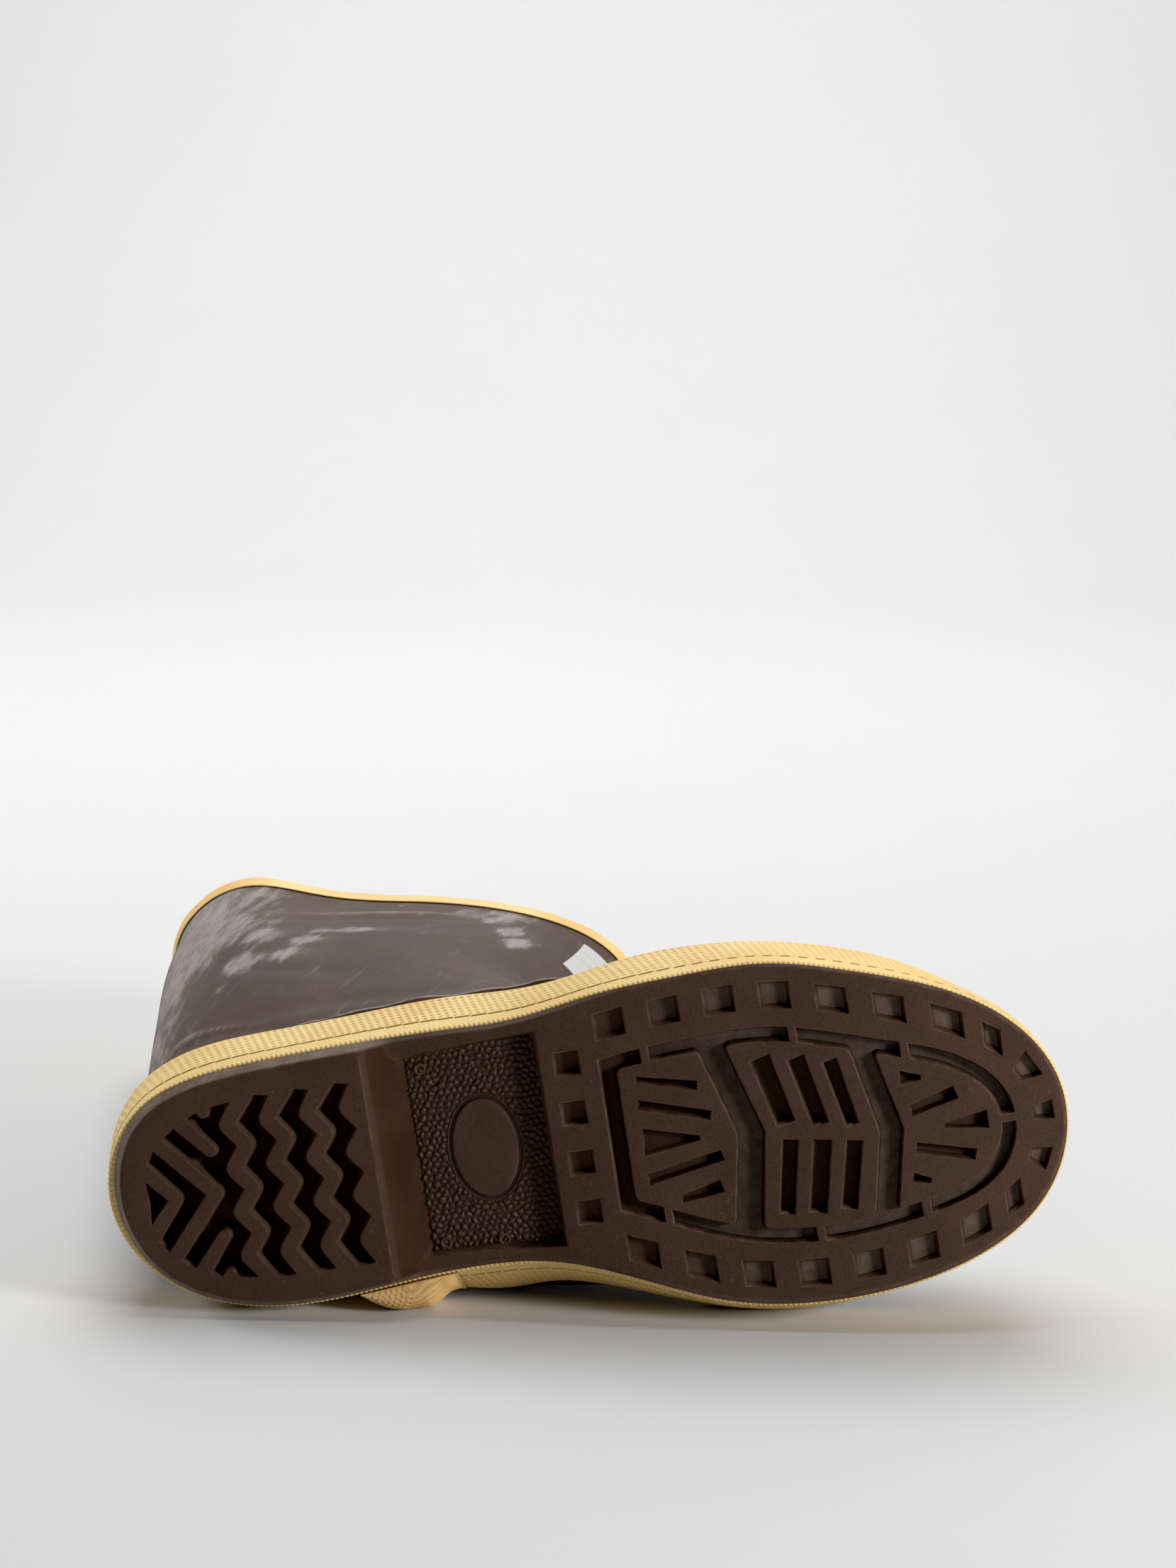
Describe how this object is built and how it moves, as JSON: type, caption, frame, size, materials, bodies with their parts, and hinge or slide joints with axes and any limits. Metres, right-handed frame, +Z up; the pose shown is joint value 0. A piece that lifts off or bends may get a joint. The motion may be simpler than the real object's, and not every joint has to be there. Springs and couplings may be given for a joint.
{
  "type": "rubber deck boot",
  "caption": "Right rubber deck boot lying on its inner side: hollow shaft and foot, lugged sole with zigzag heel grooves, pockets and islands, wrapped in a ribbed foxing band.",
  "frame": {"origin": "centre of the bounding box in plan, on the floor the boot lies on", "axes": "+X from heel to toe, +Y from the sole up the shaft to the collar, +Z up from the floor to the outer side of the boot"},
  "size_m": [0.3016, 0.3096, 0.1131],
  "materials": {
    "outsole": "matte moulded",
    "upper": "satin with pale bloom",
    "foxing": "matte, ribbed and knurled",
    "foxing_splice": "matte, woven texture",
    "collar_binding": "smooth satin",
    "insole": "plain felt"
  },
  "bodies": {
    "root": {"outsole": "outsole", "upper": "upper", "foxing": "foxing", "foxing_splice": "foxing_splice", "collar_binding": "collar_binding", "insole": "insole"}
  },
  "joints": []
}
